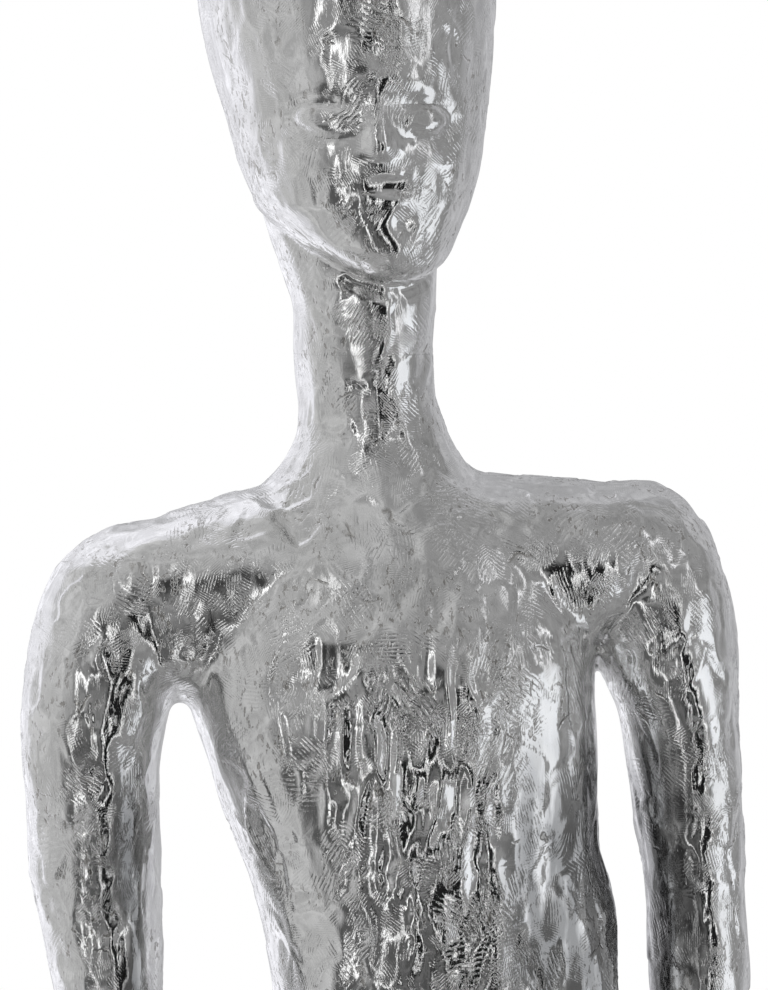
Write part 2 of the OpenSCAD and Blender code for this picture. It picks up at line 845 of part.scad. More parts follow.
module base_bushing() {
    color(steel_color) translate([rod_x, rod_y, 0]) difference() {
        union() {
            translate([0, 0, pad_h]) cylinder(r = bushing_flange_r, h = bushing_flange_t, $fn = ROUND_FN);
            translate([0, 0, pad_h]) cylinder(r = bushing_r, h = bushing_top - pad_h, $fn = ROUND_FN);
        }
        translate([0, 0, pad_h - 1]) cylinder(r = rod_d / 2 + pin_play, h = bushing_top, $fn = ROUND_FN);
        translate([0, 0, pad_h - 1]) cylinder(r = retainer_r + 0.3, h = retainer_t + 1.6, $fn = ROUND_FN);
        bushing_screw_spots() cylinder(r = bushing_shank_r + screw_play, h = base_top, $fn = 24);
        bushing_screw_spots() translate([0, 0, pad_h - 1])
            cylinder(r = bushing_head_r + screw_play, h = bushing_head_t + 1.1, $fn = 24);
    }
}

module bushing_screws() {
    color(dark_steel_color) translate([rod_x, rod_y, 0]) bushing_screw_spots() difference() {
        union() {
            translate([0, 0, pad_h]) cylinder(r = bushing_head_r, h = bushing_head_t, $fn = 32);
            translate([0, 0, pad_h]) cylinder(r = bushing_shank_r, h = plate_t - 2, $fn = 32);
        }
        translate([0, 0, pad_h - 1]) cylinder(r = 1.2, h = 1.8, $fn = 6);
    }
}

module support_rod() {
    color(steel_color) translate([rod_x, rod_y, 0]) union() {
        translate([0, 0, rod_bottom]) cylinder(d = rod_d, h = rod_top - pin_tip - rod_bottom, $fn = ROUND_FN);
        translate([0, 0, rod_top - pin_tip])
            cylinder(d1 = rod_d, d2 = rod_d - 2 * pin_tip, h = pin_tip, $fn = ROUND_FN);
    }
}

// The washer and screw head that keep the rod in its bushing
module rod_retainer() {
    color(dark_steel_color) translate([rod_x, rod_y, 0]) difference() {
        translate([0, 0, rod_bottom - retainer_t]) cylinder(r = retainer_r, h = retainer_t, $fn = ROUND_FN);
        translate([0, 0, pad_h]) cylinder(r = 2.5, h = 1.4, $fn = 6);
    }
}

// ---- Leg socket --------------------------------------------------------

module rod_socket() {
    color(steel_color) translate([rod_x, rod_y, 0]) difference() {
        union() {
            translate([0, 0, socket_bottom])
                cylinder(r = socket_r, h = socket_top - socket_bottom, $fn = ROUND_FN);
            for (z = socket_flange_z) translate([0, 0, z])
                cylinder(r = socket_flange_r, h = flange_t, $fn = ROUND_FN);
            translate([0, 0, set_screw_z]) rotate([-90, 0, 0])
                cylinder(r = set_screw_boss_r, h = set_screw_boss_len, $fn = 48);
        }
        translate([0, 0, socket_bottom - 1])
            cylinder(r = rod_d / 2 + pin_play, h = rod_top + 2 - socket_bottom, $fn = ROUND_FN);
        translate([0, 0, set_screw_z]) rotate([-90, 0, 0]) cylinder(r = set_screw_r + 0.02, h = 40, $fn = 32);
    }
}

module rod_set_screw() {
    color(dark_steel_color) translate([rod_x, rod_y, set_screw_z]) rotate([-90, 0, 0]) difference() {
        translate([0, 0, rod_d / 2 + 0.1]) cylinder(r = set_screw_r, h = set_screw_len, $fn = 32);
        translate([0, 0, rod_d / 2 + set_screw_len - 5]) cylinder(r = set_screw_r * 0.58, h = 8, $fn = 6);
    }
}

// ---- Waist -------------------------------------------------------------

module waist_socket() {
    color(steel_color) at_waist() difference() {
        union() {
            translate([0, 0, -half_gap - end_wall]) cylinder(r = waist_hub_r, h = end_wall, $fn = ROUND_FN);
            translate([0, 0, -half_gap - end_wall - flange_t])
                cylinder(r = waist_flange_r, h = flange_t, $fn = ROUND_FN);
            translate([0, 0, -waist_boss_depth])
                cylinder(r = rotor_journal_r + boss_wall, h = waist_boss_depth - rotor_t - 2, $fn = ROUND_FN);
        }
        translate([0, 0, -rotor_t - rotor_play])
            cylinder(r = rotor_r + rotor_play, h = rotor_t + 1, $fn = ROUND_FN);
        translate([0, 0, -waist_boss_depth - 1])
            cylinder(r = rotor_journal_r + pin_play, h = waist_boss_depth + 2, $fn = ROUND_FN);
        waist_screw_bores(-half_gap - end_wall - flange_t - 1);
    }
}

module waist_screw_bores(from) {
    for (i = [0 : screw_count - 1]) rotate([0, 0, first_screw + 360 * i / screw_count])
        translate([waist_screw_r, 0, from])
            cylinder(r = joint_fit[4] + screw_play, h = flange_t + 2, $fn = 24);
}

// The rotor turns in the hips and carries the two pegs that the torso drops onto
module waist_rotor() {
    color(steel_color) at_waist() union() {
        translate([0, 0, -rotor_t]) cylinder(r = rotor_r, h = rotor_t - half_gap, $fn = ROUND_FN);
        translate([0, 0, -rotor_journal_len])
            cylinder(r = rotor_journal_r, h = rotor_journal_len - 2, $fn = ROUND_FN);
        for (side = [RIGHT, LEFT]) translate([side * peg_x, 0, -2]) {
            cylinder(r = peg_r, h = peg_len, $fn = 48);
            translate([0, 0, peg_len]) cylinder(r1 = peg_r, r2 = peg_r - pin_tip, h = pin_tip, $fn = 48);
        }
    }
}

module waist_plate() {
    color(steel_color) at_waist() difference() {
        union() {
            translate([0, 0, half_gap]) cylinder(r = waist_hub_r, h = end_wall, $fn = ROUND_FN);
            translate([0, 0, half_gap + end_wall]) cylinder(r = waist_flange_r, h = flange_t, $fn = ROUND_FN);
            for (side = [RIGHT, LEFT]) translate([side * peg_x, 0, 1])
                cylinder(r = peg_r + boss_wall, h = peg_len, $fn = 48);
        }
        for (side = [RIGHT, LEFT]) translate([side * peg_x, 0, -1])
            cylinder(r = peg_r + pin_play, h = peg_len + 4, $fn = 48);
        waist_screw_bores(half_gap + end_wall - 1);
    }
}

// ---- Nodes -------------------------------------------------------------

base_plate();
base_pads();
base_bushing();
bushing_screws();
support_rod();
rod_retainer();
hips_left_leg_shell();
rod_socket();
rod_set_screw();
right_leg_shell();
thigh_socket();
at_thigh() screws(thigh_fit[3], thigh_fit[4], -1);  // thigh_socket_screws
thigh_spigot();
at_thigh() screws(thigh_fit[3], thigh_fit[4], 1);  // thigh_spigot_screws
thigh_plunger();
thigh_spring();
waist_socket();
at_waist() screws(waist_screw_r, joint_fit[4], -1);  // waist_socket_screws
waist_rotor();
waist_plate();
at_waist() screws(waist_screw_r, joint_fit[4], 1);  // waist_plate_screws
torso_shell();
neck_socket();
at_neck() joint_screws(-1);  // neck_socket_screws
at_neck() magnets(-1);  // neck_socket_magnets
head_shell();
neck_spigot();
at_neck() joint_screws(1);  // neck_spigot_screws
at_neck() magnets(1);  // neck_spigot_magnets
shoulder_socket(RIGHT);  // right_shoulder_socket
at_shoulder(RIGHT) joint_screws(-1);  // right_shoulder_screws
at_shoulder(RIGHT) magnets(-1);  // right_shoulder_magnets
arm_shell(RIGHT);  // right_arm_shell
arm_spigot(RIGHT);  // right_arm_spigot
at_shoulder(RIGHT) joint_screws(1);  // right_arm_screws
at_shoulder(RIGHT) magnets(1);  // right_arm_magnets
wrist_socket(RIGHT);  // right_wrist_socket
wrist_magnet(RIGHT);  // right_wrist_magnet
hand(RIGHT);  // right_hand
wrist_spigot(RIGHT);  // right_wrist_spigot
shoulder_socket(LEFT);  // left_shoulder_socket
at_shoulder(LEFT) joint_screws(-1);  // left_shoulder_screws
at_shoulder(LEFT) magnets(-1);  // left_shoulder_magnets
arm_shell(LEFT);  // left_arm_shell
arm_spigot(LEFT);  // left_arm_spigot
at_shoulder(LEFT) joint_screws(1);  // left_arm_screws
at_shoulder(LEFT) magnets(1);  // left_arm_magnets
wrist_socket(LEFT);  // left_wrist_socket
wrist_magnet(LEFT);  // left_wrist_magnet
hand(LEFT);  // left_hand
wrist_spigot(LEFT);  // left_wrist_spigot
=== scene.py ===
"""Full body mannequin: a hand-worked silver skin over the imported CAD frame."""

import json
import math

import bmesh
import bpy
import numpy as np
from mathutils import Matrix, Vector


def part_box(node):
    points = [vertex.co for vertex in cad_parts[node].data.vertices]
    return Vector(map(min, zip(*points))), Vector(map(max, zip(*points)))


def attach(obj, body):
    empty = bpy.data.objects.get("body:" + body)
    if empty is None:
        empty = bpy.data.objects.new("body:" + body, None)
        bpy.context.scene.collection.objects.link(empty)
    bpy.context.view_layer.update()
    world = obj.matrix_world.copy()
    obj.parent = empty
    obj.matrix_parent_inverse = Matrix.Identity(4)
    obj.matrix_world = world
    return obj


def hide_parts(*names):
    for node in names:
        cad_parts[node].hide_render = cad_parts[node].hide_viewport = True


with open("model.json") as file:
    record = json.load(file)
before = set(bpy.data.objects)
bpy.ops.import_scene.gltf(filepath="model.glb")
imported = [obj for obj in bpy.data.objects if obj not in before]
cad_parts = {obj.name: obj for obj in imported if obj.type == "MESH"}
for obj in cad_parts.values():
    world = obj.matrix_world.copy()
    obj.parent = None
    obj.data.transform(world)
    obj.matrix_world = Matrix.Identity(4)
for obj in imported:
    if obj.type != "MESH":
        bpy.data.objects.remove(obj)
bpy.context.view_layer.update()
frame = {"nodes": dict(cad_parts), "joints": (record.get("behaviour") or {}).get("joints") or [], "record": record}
NODES = frame["nodes"]
JOINTS = {j["name"]: j for j in frame["joints"]}

MM = 0.001
SEED = 41

# Grid of the skin's surface, upper and lower half of the figure
UPPER_VOXEL = 2.2 * MM
LOWER_VOXEL = 3.2 * MM
# Smoothing passes on the upper grid; the coarser lower grid needs fewer
SMOOTH_TIMES = 55
# Half of the gap between two pieces of skin that meet at a joint
HALF_GAP = 0.03 * MM
# How far each half of the figure runs on past the waist before it is cut there
SKIRT = 30 * MM
# Edges sharper than this, in degrees, stay sharp in the skin's shading
SHARP_ANGLE = 50

# Radii in mm that the CAD shells leave open round each fitting: (hub, screw circle, screw head)
FITTING = {
    "head_turn": (20.3, 26, 4.3),
    "right_shoulder_turn": (20.3, 26, 4.3),
    "left_shoulder_turn": (20.3, 26, 4.3),
    "right_wrist_turn": (9.3, 0, 0),
    "left_wrist_turn": (9.3, 0, 0),
    "thigh_turn": (30.3, 38, 5.3),
    "waist_twist": (52.3, 58, 4.3),
}
HUB_DEPTH = 9.4 * MM
HEAD_DEPTH = 3.0 * MM
SCREW_COUNT = 3
# A CAD piece of each fitting that has screws, to find the angle of its first screw
SCREW_NODES = {
    "head_turn": "neck_socket_screws",
    "right_shoulder_turn": "right_shoulder_screws",
    "left_shoulder_turn": "left_shoulder_screws",
    "thigh_turn": "thigh_socket_screws",
    "waist_twist": "waist_socket_screws",
}


def joint_at(name):
    return Vector(JOINTS[name]["pos_m"])


def joint_axis(name):
    """Points from the parent body to the child body."""
    return Vector(JOINTS[name]["axis"]).normalized()


UP = Vector((0, 0, 1))
BACKWARD = Vector((0, 1, 0))
TO_THE_RIGHT = Vector((-1, 0, 0))
NECK = joint_at("head_turn")
WAIST = joint_at("waist_twist")
THIGH = joint_at("thigh_turn")
ROD = joint_at("rod_swivel")
HAND_TOP = min(joint_at(n).z for n in ("right_wrist_turn", "left_wrist_turn"))
SOLE_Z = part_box("hips_left_leg_shell")[0].z


# ---- Meshes ---------------------------------------------------------------

def link(name, mesh):
    """A new object in the scene."""
    obj = bpy.data.objects.new(name, mesh)
    bpy.context.scene.collection.objects.link(obj)
    return obj


def mesh_from(name, verts, faces):
    """A mesh from points and faces."""
    mesh = bpy.data.meshes.new(name)
    mesh.from_pydata([tuple(v) for v in verts], [], faces)
    mesh.update()
    return mesh


def basis(axis):
    """A rotation whose local Z is the axis."""
    return axis.to_track_quat("Z", "Y").to_matrix()


def cylinder(centre, axis, radius, low, high, sides=64):
    """A closed cylinder from low to high along the axis, measured from the centre."""
    rot = basis(axis)
    rings = []
    for z in (low, high):
        for i in range(sides):
            a = 2 * math.pi * i / sides
            rings.append(centre + rot @ Vector((radius * math.cos(a), radius * math.sin(a), z)))
    faces = [tuple(reversed(range(sides))), tuple(range(sides, 2 * sides))]
    faces += [(i, (i + 1) % sides, sides + (i + 1) % sides, sides + i) for i in range(sides)]
    return rings, faces


def block(centre, axis, offset, half=3.0):
    """The half of space beyond a plane."""
    rot = basis(axis)
    pts = [centre + rot @ Vector((x * half, y * half, offset + z * 2 * half))
           for z in (0, 1) for x, y in ((-1, -1), (1, -1), (1, 1), (-1, 1))]
    faces = [(3, 2, 1, 0), (4, 5, 6, 7), (0, 1, 5, 4), (1, 2, 6, 5), (2, 3, 7, 6), (3, 0, 4, 7)]
    return pts, faces


def prism(outline, half=1.0):
    """An outline in X and Z, counter-clockwise seen from the front, drawn out along Y."""
    n = len(outline)
    pts = [Vector((x, y, z)) for y in (-half, half) for x, z in outline]
    faces = [tuple(range(n)), tuple(reversed(range(n, 2 * n)))]
    faces += [((i + 1) % n, i, n + i, n + (i + 1) % n) for i in range(n)]
    return pts, faces


def gathered(parts):
    """Several parts, each of points and faces, as one."""
    verts, faces = [], []
    for pts, fs in parts:
        base = len(verts)
        verts += list(pts)
        faces += [tuple(base + i for i in f) for f in fs]
    return verts, faces


def node_part(name, keep_above=None, keep_below=None):
    """The triangles of a CAD node, or only those above or below a height."""
    mesh = NODES[name].data
    bm = bmesh.new()
    bm.from_mesh(mesh)
    for height, inner, outer in ((keep_above, True, False), (keep_below, False, True)):
        if height is not None:
            bmesh.ops.bisect_plane(
                bm, geom=bm.verts[:] + bm.edges[:] + bm.faces[:], plane_co=(0, 0, height),
                plane_no=(0, 0, 1), clear_inner=inner, clear_outer=outer)
            cut = [e for e in bm.edges if e.is_boundary]
            bmesh.ops.triangle_fill(bm, edges=cut, use_beauty=True)
    bm.verts.index_update()
    verts = [v.co.copy() for v in bm.verts]
    faces = [tuple(v.index for v in f.verts) for f in bm.faces]
    bm.free()
    return verts, faces


def evaluated(obj):
    """Applies the object's modifiers to its mesh."""
    deps = bpy.context.evaluated_depsgraph_get()
    mesh = bpy.data.meshes.new_from_object(obj.evaluated_get(deps))
    old = obj.data
    obj.modifiers.clear()
    obj.data = mesh
    bpy.data.meshes.remove(old)
    return obj


def cut(obj, operation, parts):
    """Cuts a closed mesh by closed parts that don't touch one another."""
    verts, faces = gathered(parts)
    mesh = mesh_from("cutter", verts, faces)
    bm = bmesh.new()
    bm.from_mesh(mesh)
    bmesh.ops.recalc_face_normals(bm, faces=bm.faces)
    bm.to_mesh(mesh)
    bm.free()
    tool = link("cutter", mesh)
    mod = obj.modifiers.new("cut", "BOOLEAN")
    mod.operation = operation
    mod.object = tool
    mod.solver = "MANIFOLD"
    evaluated(obj)
    bpy.data.objects.remove(tool)
    bpy.data.meshes.remove(mesh)
    return obj


# ---- Noise ----------------------------------------------------------------

def hashed(ix, iy, iz, seed):
    """A repeatable number from 0 to 1 for each cell of a grid."""
    h = (ix * 374761393 + iy * 668265263 + iz * 2147483647 + seed * 1274126177) & 0xFFFFFFFF
    h = ((h ^ (h >> 13)) * 1274126177) & 0xFFFFFFFF
    h = ((h ^ (h >> 16)) * 2246822519) & 0xFFFFFFFF
    return ((h ^ (h >> 15)) & 0xFFFFFF) / float(0xFFFFFF)


def noise(p, size, seed):
    """Smooth noise from -1 to 1 with features about one size apart."""
    q = p / size
    cell = np.floor(q).astype(np.int64)
    f = q - cell
    f = f * f * f * (f * (f * 6 - 15) + 10)
    total = np.zeros(len(p))
    for dx in (0, 1):
        for dy in (0, 1):
            for dz in (0, 1):
                w = ((f[:, 0] if dx else 1 - f[:, 0]) * (f[:, 1] if dy else 1 - f[:, 1])
                     * (f[:, 2] if dz else 1 - f[:, 2]))
                total += w * hashed(cell[:, 0] + dx, cell[:, 1] + dy, cell[:, 2] + dz, seed)
    return total * 2 - 1


def patches(p, size, seed):
    """Nearest and second nearest jittered point: (centre, distance, second distance, id)."""
    q = p / size
    cell = np.floor(q).astype(np.int64)
    best = np.full(len(p), 9.0)
    second = np.full(len(p), 9.0)
    centre = np.zeros_like(p)
    ident = np.zeros(len(p))
    for dx in (-1, 0, 1):
        for dy in (-1, 0, 1):
            for dz in (-1, 0, 1):
                c = cell + np.array([dx, dy, dz])
                cx, cy, cz = c[:, 0], c[:, 1], c[:, 2]
                point = c + np.stack([hashed(cx, cy, cz, seed + s) for s in (1, 2, 3)], 1)
                d = np.linalg.norm(point - q, axis=1)
                near = d < best
                second = np.where(near, best, np.minimum(second, d))
                best = np.where(near, d, best)
                centre[near] = point[near]
                ident[near] = hashed(cx, cy, cz, seed + 9)[near]
    return centre * size, best, second, ident


def smoothstep(lo, hi, x):
    """0 at lo and 1 at hi, with a soft start and end."""
    t = np.clip((x - lo) / (hi - lo), 0, 1)
    return t * t * (3 - 2 * t)


# ---- The skin -------------------------------------------------------------

def coords(mesh):
    """The points of a mesh, one row each."""
    co = np.zeros(len(mesh.vertices) * 3)
    mesh.vertices.foreach_get("co", co)
    return co.reshape(-1, 3)


def normals(mesh):
    """The normal at each point of a mesh."""
    no = np.zeros(len(mesh.vertices) * 3)
    mesh.vertex_normals.foreach_get("vector", no)
    return no.reshape(-1, 3)


def set_coords(mesh, co):
    """Moves the points of a mesh."""
    mesh.vertices.foreach_set("co", co.ravel())
    mesh.update()


def biggest_part(obj):
    """Drops every loose part but the one with the most vertices."""
    mesh = obj.data
    count = len(mesh.vertices)
    edges = np.zeros(len(mesh.edges) * 2, np.int64)
    mesh.edges.foreach_get("vertices", edges)
    edges = edges.reshape(-1, 2)
    label = np.arange(count)
    while True:
        low = np.minimum(label[edges[:, 0]], label[edges[:, 1]])
        new = label.copy()
        np.minimum.at(new, edges[:, 0], low)
        np.minimum.at(new, edges[:, 1], low)
        new = new[new]
        if (new == label).all():
            break
        label = new
    values, sizes = np.unique(label, return_counts=True)
    if len(values) > 1:
        keep = label == values[sizes.argmax()]
        bm = bmesh.new()
        bm.from_mesh(mesh)
        bm.verts.ensure_lookup_table()
        bmesh.ops.delete(bm, geom=[v for v in bm.verts if not keep[v.index]], context="VERTS")
        bm.to_mesh(mesh)
        bm.free()
    return obj


def smoothed(obj, weight, times):
    """Rounds the skin off where weight is 1, and less where it is lower."""
    levels = np.round(weight * 20) / 20
    group = obj.vertex_groups.new(name="soft")
    for level in np.unique(levels):
        group.add(np.flatnonzero(levels == level).tolist(), float(level), "REPLACE")
    mod = obj.modifiers.new("smooth", "SMOOTH")
    mod.factor = 0.5
    mod.iterations = times
    mod.vertex_group = group.name
    return evaluated(obj)


def skin_of(name, parts, voxel):
    """One closed form round several parts, on a grid."""
    verts, faces = gathered(parts)
    obj = link(name, mesh_from(name, verts, faces))
    mod = obj.modifiers.new("remesh", "REMESH")
    mod.mode = "VOXEL"
    mod.voxel_size = voxel
    evaluated(obj)
    return biggest_part(obj)


def worked_surface(p):
    """Height of the hand-worked relief: lumps, trowel patches and their ridges."""
    tall = p * np.array([1.0, 1.0, 0.42])
    lumps = 1.8 * noise(p, 43 * MM, SEED) + 0.8 * noise(tall, 19 * MM, SEED + 1)
    lumps += 0.2 * noise(tall, 10 * MM, SEED + 2)
    warp = np.stack([noise(p, 18 * MM, SEED + s) for s in (3, 4, 5)], 1) * 6 * MM
    where = p * np.array([1, 1, 0.62]) + warp
    centre, d1, d2, ident = patches(where, 20 * MM, SEED + 6)
    tilt = np.stack([(ident * k * 7.13) % 1 - 0.5 for k in (1, 2.7, 5.1)], 1)
    trowel = 0.17 * ((where - centre) * tilt).sum(1) / MM
    trowel = np.clip(trowel, -0.8, 0.8) + 0.3 * (ident - 0.5)
    crest = smoothstep(0.12, 0.0, d2 - d1) * smoothstep(0.05, 0.5, noise(p, 30 * MM, SEED + 12))
    folded = chest_folds(p)
    return (lumps + trowel * smoothstep(0.0, 0.16, d2 - d1) + 0.45 * crest + folded) * MM


def chest_folds(p):
    """Deep upright folds down the middle of the chest, in millimetres."""
    zone = np.exp(-((p[:, 0] - 0.012) / 0.052) ** 4 - ((p[:, 2] - 1.315) / 0.105) ** 4)
    zone *= smoothstep(-0.02, -0.06, p[:, 1])
    upright = p * np.array([1.0, 0.3, 0.26])
    ridged = 1 - 2 * np.abs(noise(upright, 10 * MM, SEED + 20))
    slant = p @ np.array([[1.0, 0, 0], [0, 0.3, 0], [-0.25, 0, 0.3]])
    ridged2 = 1 - 2 * np.abs(noise(slant, 15 * MM, SEED + 21))
    return zone * (1.7 * ridged + 1.5 * ridged2)


# Heights on the face, the X of its middle line at the eyes, how far that line leans towards the
# figure's left on the way down to the chin, and how far each eye is from it
EYE_Z, MOUTH_Z, CHIN_Z = 1.687, 1.652, 1.630
FACE_X, FACE_LEAN = -0.018, 0.19
EYE_X = 0.028


def across_face(p):
    """Distance from the face's middle line towards the figure's left, in millimetres."""
    return (p[:, 0] - FACE_X - FACE_LEAN * (EYE_Z - p[:, 2])) / MM


def face_relief(p):
    """Closed eyelids, brow, mouth and chin, as heights along the surface's normal, in metres."""
    x = across_face(p)
    z = (p[:, 2] - EYE_Z) / MM
    front = smoothstep(-0.045, -0.075, p[:, 1])
    h = np.zeros(len(p))
    for side in (-1, 1):
        ex = x - side * EYE_X / MM
        reach = np.sqrt((ex / 16) ** 2 + ((z - 1 - side * 0.06 * ex) / 9) ** 2)
        socket = np.exp(-((ex / 26) ** 2 + ((z - 4) / 17) ** 2))
        crease = np.exp(-((reach - 1.1) / 0.27) ** 2)
        line = np.exp(-((z + 5 - 0.014 * ex * ex) / 1.3) ** 2) * np.exp(-(ex / 13) ** 4)
        outer = smoothstep(12, 24, side * x)
        h += (0.6 + 0.4 * outer) * (4.2 * np.exp(-reach ** 4) - 2.8 * socket)
        h -= outer * (2.1 * crease + 1.1 * line)
    h += 1.5 * np.exp(-((z - 25 + 0.008 * x * x) / 8) ** 2 - (x / 44) ** 4)
    h += 1.6 * sum(np.exp(-((x - s * 36) / 17) ** 2 - ((z + 26) / 17) ** 2) for s in (-1, 1))
    m = (p[:, 2] - MOUTH_Z) / MM
    h += 1.7 * np.exp(-(x / 14) ** 2 - ((m - 7.5 + 0.012 * x * x) / 3.4) ** 2)
    h -= 2.2 * np.exp(-(x / 11) ** 2 - ((m + 1) / 5) ** 2)
    h += 1.3 * np.exp(-(x / 14) ** 2 - ((m + 9) / 4) ** 2)
    c = (p[:, 2] - CHIN_Z) / MM
    h -= 2.4 * np.exp(-((x - 5) / 7.5) ** 2 - (c / 8.5) ** 2)
    h += 2.0 * np.exp(-(x / 16) ** 2 - ((c + 14) / 8) ** 2)
    return h * front * MM


def jaw_line(p):
    """A groove where the jaw meets the neck, in metres."""
    x = across_face(p)
    z = p[:, 2] / MM
    edge = 1596 + 0.0125 * x * x
    groove = np.exp(-((z - edge + 3) / 4.5) ** 2) * smoothstep(70, 45, np.abs(x))
    lip = np.exp(-((z - edge - 8) / 6) ** 2) * smoothstep(60, 30, np.abs(x))
    return (-2.6 * groove + 0.7 * lip) * smoothstep(0.0, -0.03, p[:, 1]) * MM


# Where an arm meets the torso below its shoulder cut, by side (-1 is the figure's right)
ARMPIT_X = {-1: -0.119, 1: 0.133}
ARMPIT_Z = 1.33
# How far each arm is cut back there, so that it turns clear of the torso
ARMPIT_CLEAR = {-1: 0.0, 1: 2.0 * MM}

# How much the plain form is rounded off, where it isn't rounded fully
HAND_SOFT, FOOT_SOFT, CHIN_SOFT = 0.1, 0.15, 0.35
HAND_MARGIN = 0.03
FOOT_TOP = 0.1
HEEL_BOTTOM, HEEL_TOP, HEEL_FRONT_Y = 0.03, 0.15, 0.01
CHIN_BAND = (1.575, 1.66)
CHIN_BACK_Y = -0.02

# The skin's mean height over the CAD shells, and the strength of the relief on calmer parts
SKIN_RISE = 0.5 * MM
QUIET_RELIEF = 0.45
ARMPIT_CALM, HEEL_CALM, HEAD_CALM = 0.7, 0.9, 0.4


def softness(p, voxel):
    """How much each point of the plain form is rounded off."""
    weight = np.ones(len(p))
    if voxel == UPPER_VOXEL:
        weight[p[:, 2] < HAND_TOP + HAND_MARGIN] = HAND_SOFT
    weight[p[:, 2] < SOLE_Z + FOOT_TOP] = FOOT_SOFT
    heel = (p[:, 2] > SOLE_Z + HEEL_BOTTOM) & (p[:, 2] < SOLE_Z + HEEL_TOP)
    weight[heel & (p[:, 1] > HEEL_FRONT_Y)] = 1.0
    chin = (p[:, 2] > CHIN_BAND[0]) & (p[:, 2] < CHIN_BAND[1]) & (p[:, 1] < CHIN_BACK_Y)
    weight[chin] = CHIN_SOFT
    return weight


def shape_skin(obj, voxel):
    """Turns the plain remeshed form into the worked surface."""
    weight = softness(coords(obj.data), voxel)
    smoothed(obj, weight, int(SMOOTH_TIMES * (UPPER_VOXEL / voxel) ** 2))
    mesh = obj.data
    p, n = coords(mesh), normals(mesh)
    h = worked_surface(p) * np.where(p[:, 2] < HAND_TOP, QUIET_RELIEF, 1.0) + SKIN_RISE
    for x in ARMPIT_X.values():
        near = smoothstep(22 * MM, 5 * MM, np.abs(p[:, 0] - x))
        near *= smoothstep(0.06, 0.03, np.abs(p[:, 2] - ARMPIT_Z))
        h *= 1 - ARMPIT_CALM * near
    heel = smoothstep(SOLE_Z + 0.14, SOLE_Z + 0.1, p[:, 2]) * smoothstep(0.0, 0.03, p[:, 1])
    h *= 1 - HEEL_CALM * heel
    head = p[:, 2] > NECK.z + 10 * MM
    calm = 1 - HEAD_CALM * smoothstep(NECK.z + 30 * MM, NECK.z + 60 * MM, p[head][:, 2])
    h[head] = h[head] * calm + face_relief(p[head]) + jaw_line(p[head])
    p = p + n * h[:, None]
    # The soles stay flat, just above the CAD soles
    p[:, 2] = np.maximum(p[:, 2], SOLE_Z + 0.05 * MM)
    set_coords(mesh, p)


def screw_side(joint):
    """Angle of the first screw in the joint's own frame, from the CAD screws."""
    local = coords(NODES[SCREW_NODES[joint]].data) - np.array(joint_at(joint))
    local = local @ np.array(basis(joint_axis(joint)))
    angle = SCREW_COUNT * np.arctan2(local[:, 1], local[:, 0])
    return float(np.arctan2(np.sin(angle).mean(), np.cos(angle).mean()) / SCREW_COUNT)


def seat(joint, facing):
    """Holes for a fitting's hub and screw heads: facing 1 is the child's end, -1 the parent's."""
    hub, circle, head = (v * MM for v in FITTING[joint])
    centre, axis = joint_at(joint), joint_axis(joint)
    parts = [cylinder(centre, axis, hub, *sorted((-facing * MM, facing * HUB_DEPTH)))]
    reach = sorted((-facing * MM, facing * HEAD_DEPTH))
    if circle:
        side, rot = screw_side(joint), basis(axis)
        for i in range(SCREW_COUNT):
            a = side + 2 * math.pi * i / SCREW_COUNT
            spot = centre + rot @ Vector((circle * math.cos(a), circle * math.sin(a), 0))
            parts.append(cylinder(spot, axis, head, *reach, 24))
    return parts


# Bottom of the space that holds an arm and its hand, and how far it goes up past the shoulder
ARM_BOTTOM_Z = 0.6
ARM_REACH = 0.6
# The line between each arm and the torso below the armpit, as (height, X)
ARM_GAP = {
    -1: [(1.34, ARMPIT_X[-1]), (ARM_BOTTOM_Z, ARMPIT_X[-1])],
    1: [(1.34, ARMPIT_X[1]), (1.212, 0.152), (1.188, 0.156), (1.15, 0.1585), (1.13, 0.161),
        (ARM_BOTTOM_Z, 0.161)],
}


def arm_region(side, offset, clear=0.0):
    """The arm's side of the cut, moved out by the offset, and by clear more at the armpit."""
    joint = "left_shoulder_turn" if side > 0 else "right_shoulder_turn"
    centre, axis = joint_at(joint), joint_axis(joint)
    start = centre + axis * offset
    slope = Vector((-axis.z * side, 0, abs(axis.x)))
    far = start + slope * ARM_REACH
    x0 = ARMPIT_X[side] + side * (offset + clear)
    near = start + slope * ((x0 - start.x) / slope.x)
    gap = [(ARM_GAP[side][0][0], x0 - side * offset)] + ARM_GAP[side][1:]
    outline = [(near.x, near.z)] + [(x + side * offset, z) for z, x in gap]
    outline += [(far.x, ARM_BOTTOM_Z), (far.x, far.z)]
    return prism(outline)


UPPER_PARTS = ("torso_shell", "head_shell", "right_arm_shell", "left_arm_shell",
               "right_hand", "left_hand")
LOWER_PARTS = ("hips_left_leg_shell", "right_leg_shell")
PLUG_SIDES = 24
plunger_lo, plunger_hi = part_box("thigh_plunger")
PLUNGER_AT = Vector((0, (plunger_lo.y + plunger_hi.y) / 2, (plunger_lo.z + plunger_hi.z) / 2))
set_lo, set_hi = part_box("rod_set_screw")
SET_SCREW_AT = Vector(((set_lo.x + set_hi.x) / 2, 0, (set_lo.z + set_hi.z) / 2))
ROD_FOOT = Vector((ROD.x, ROD.y, 0))
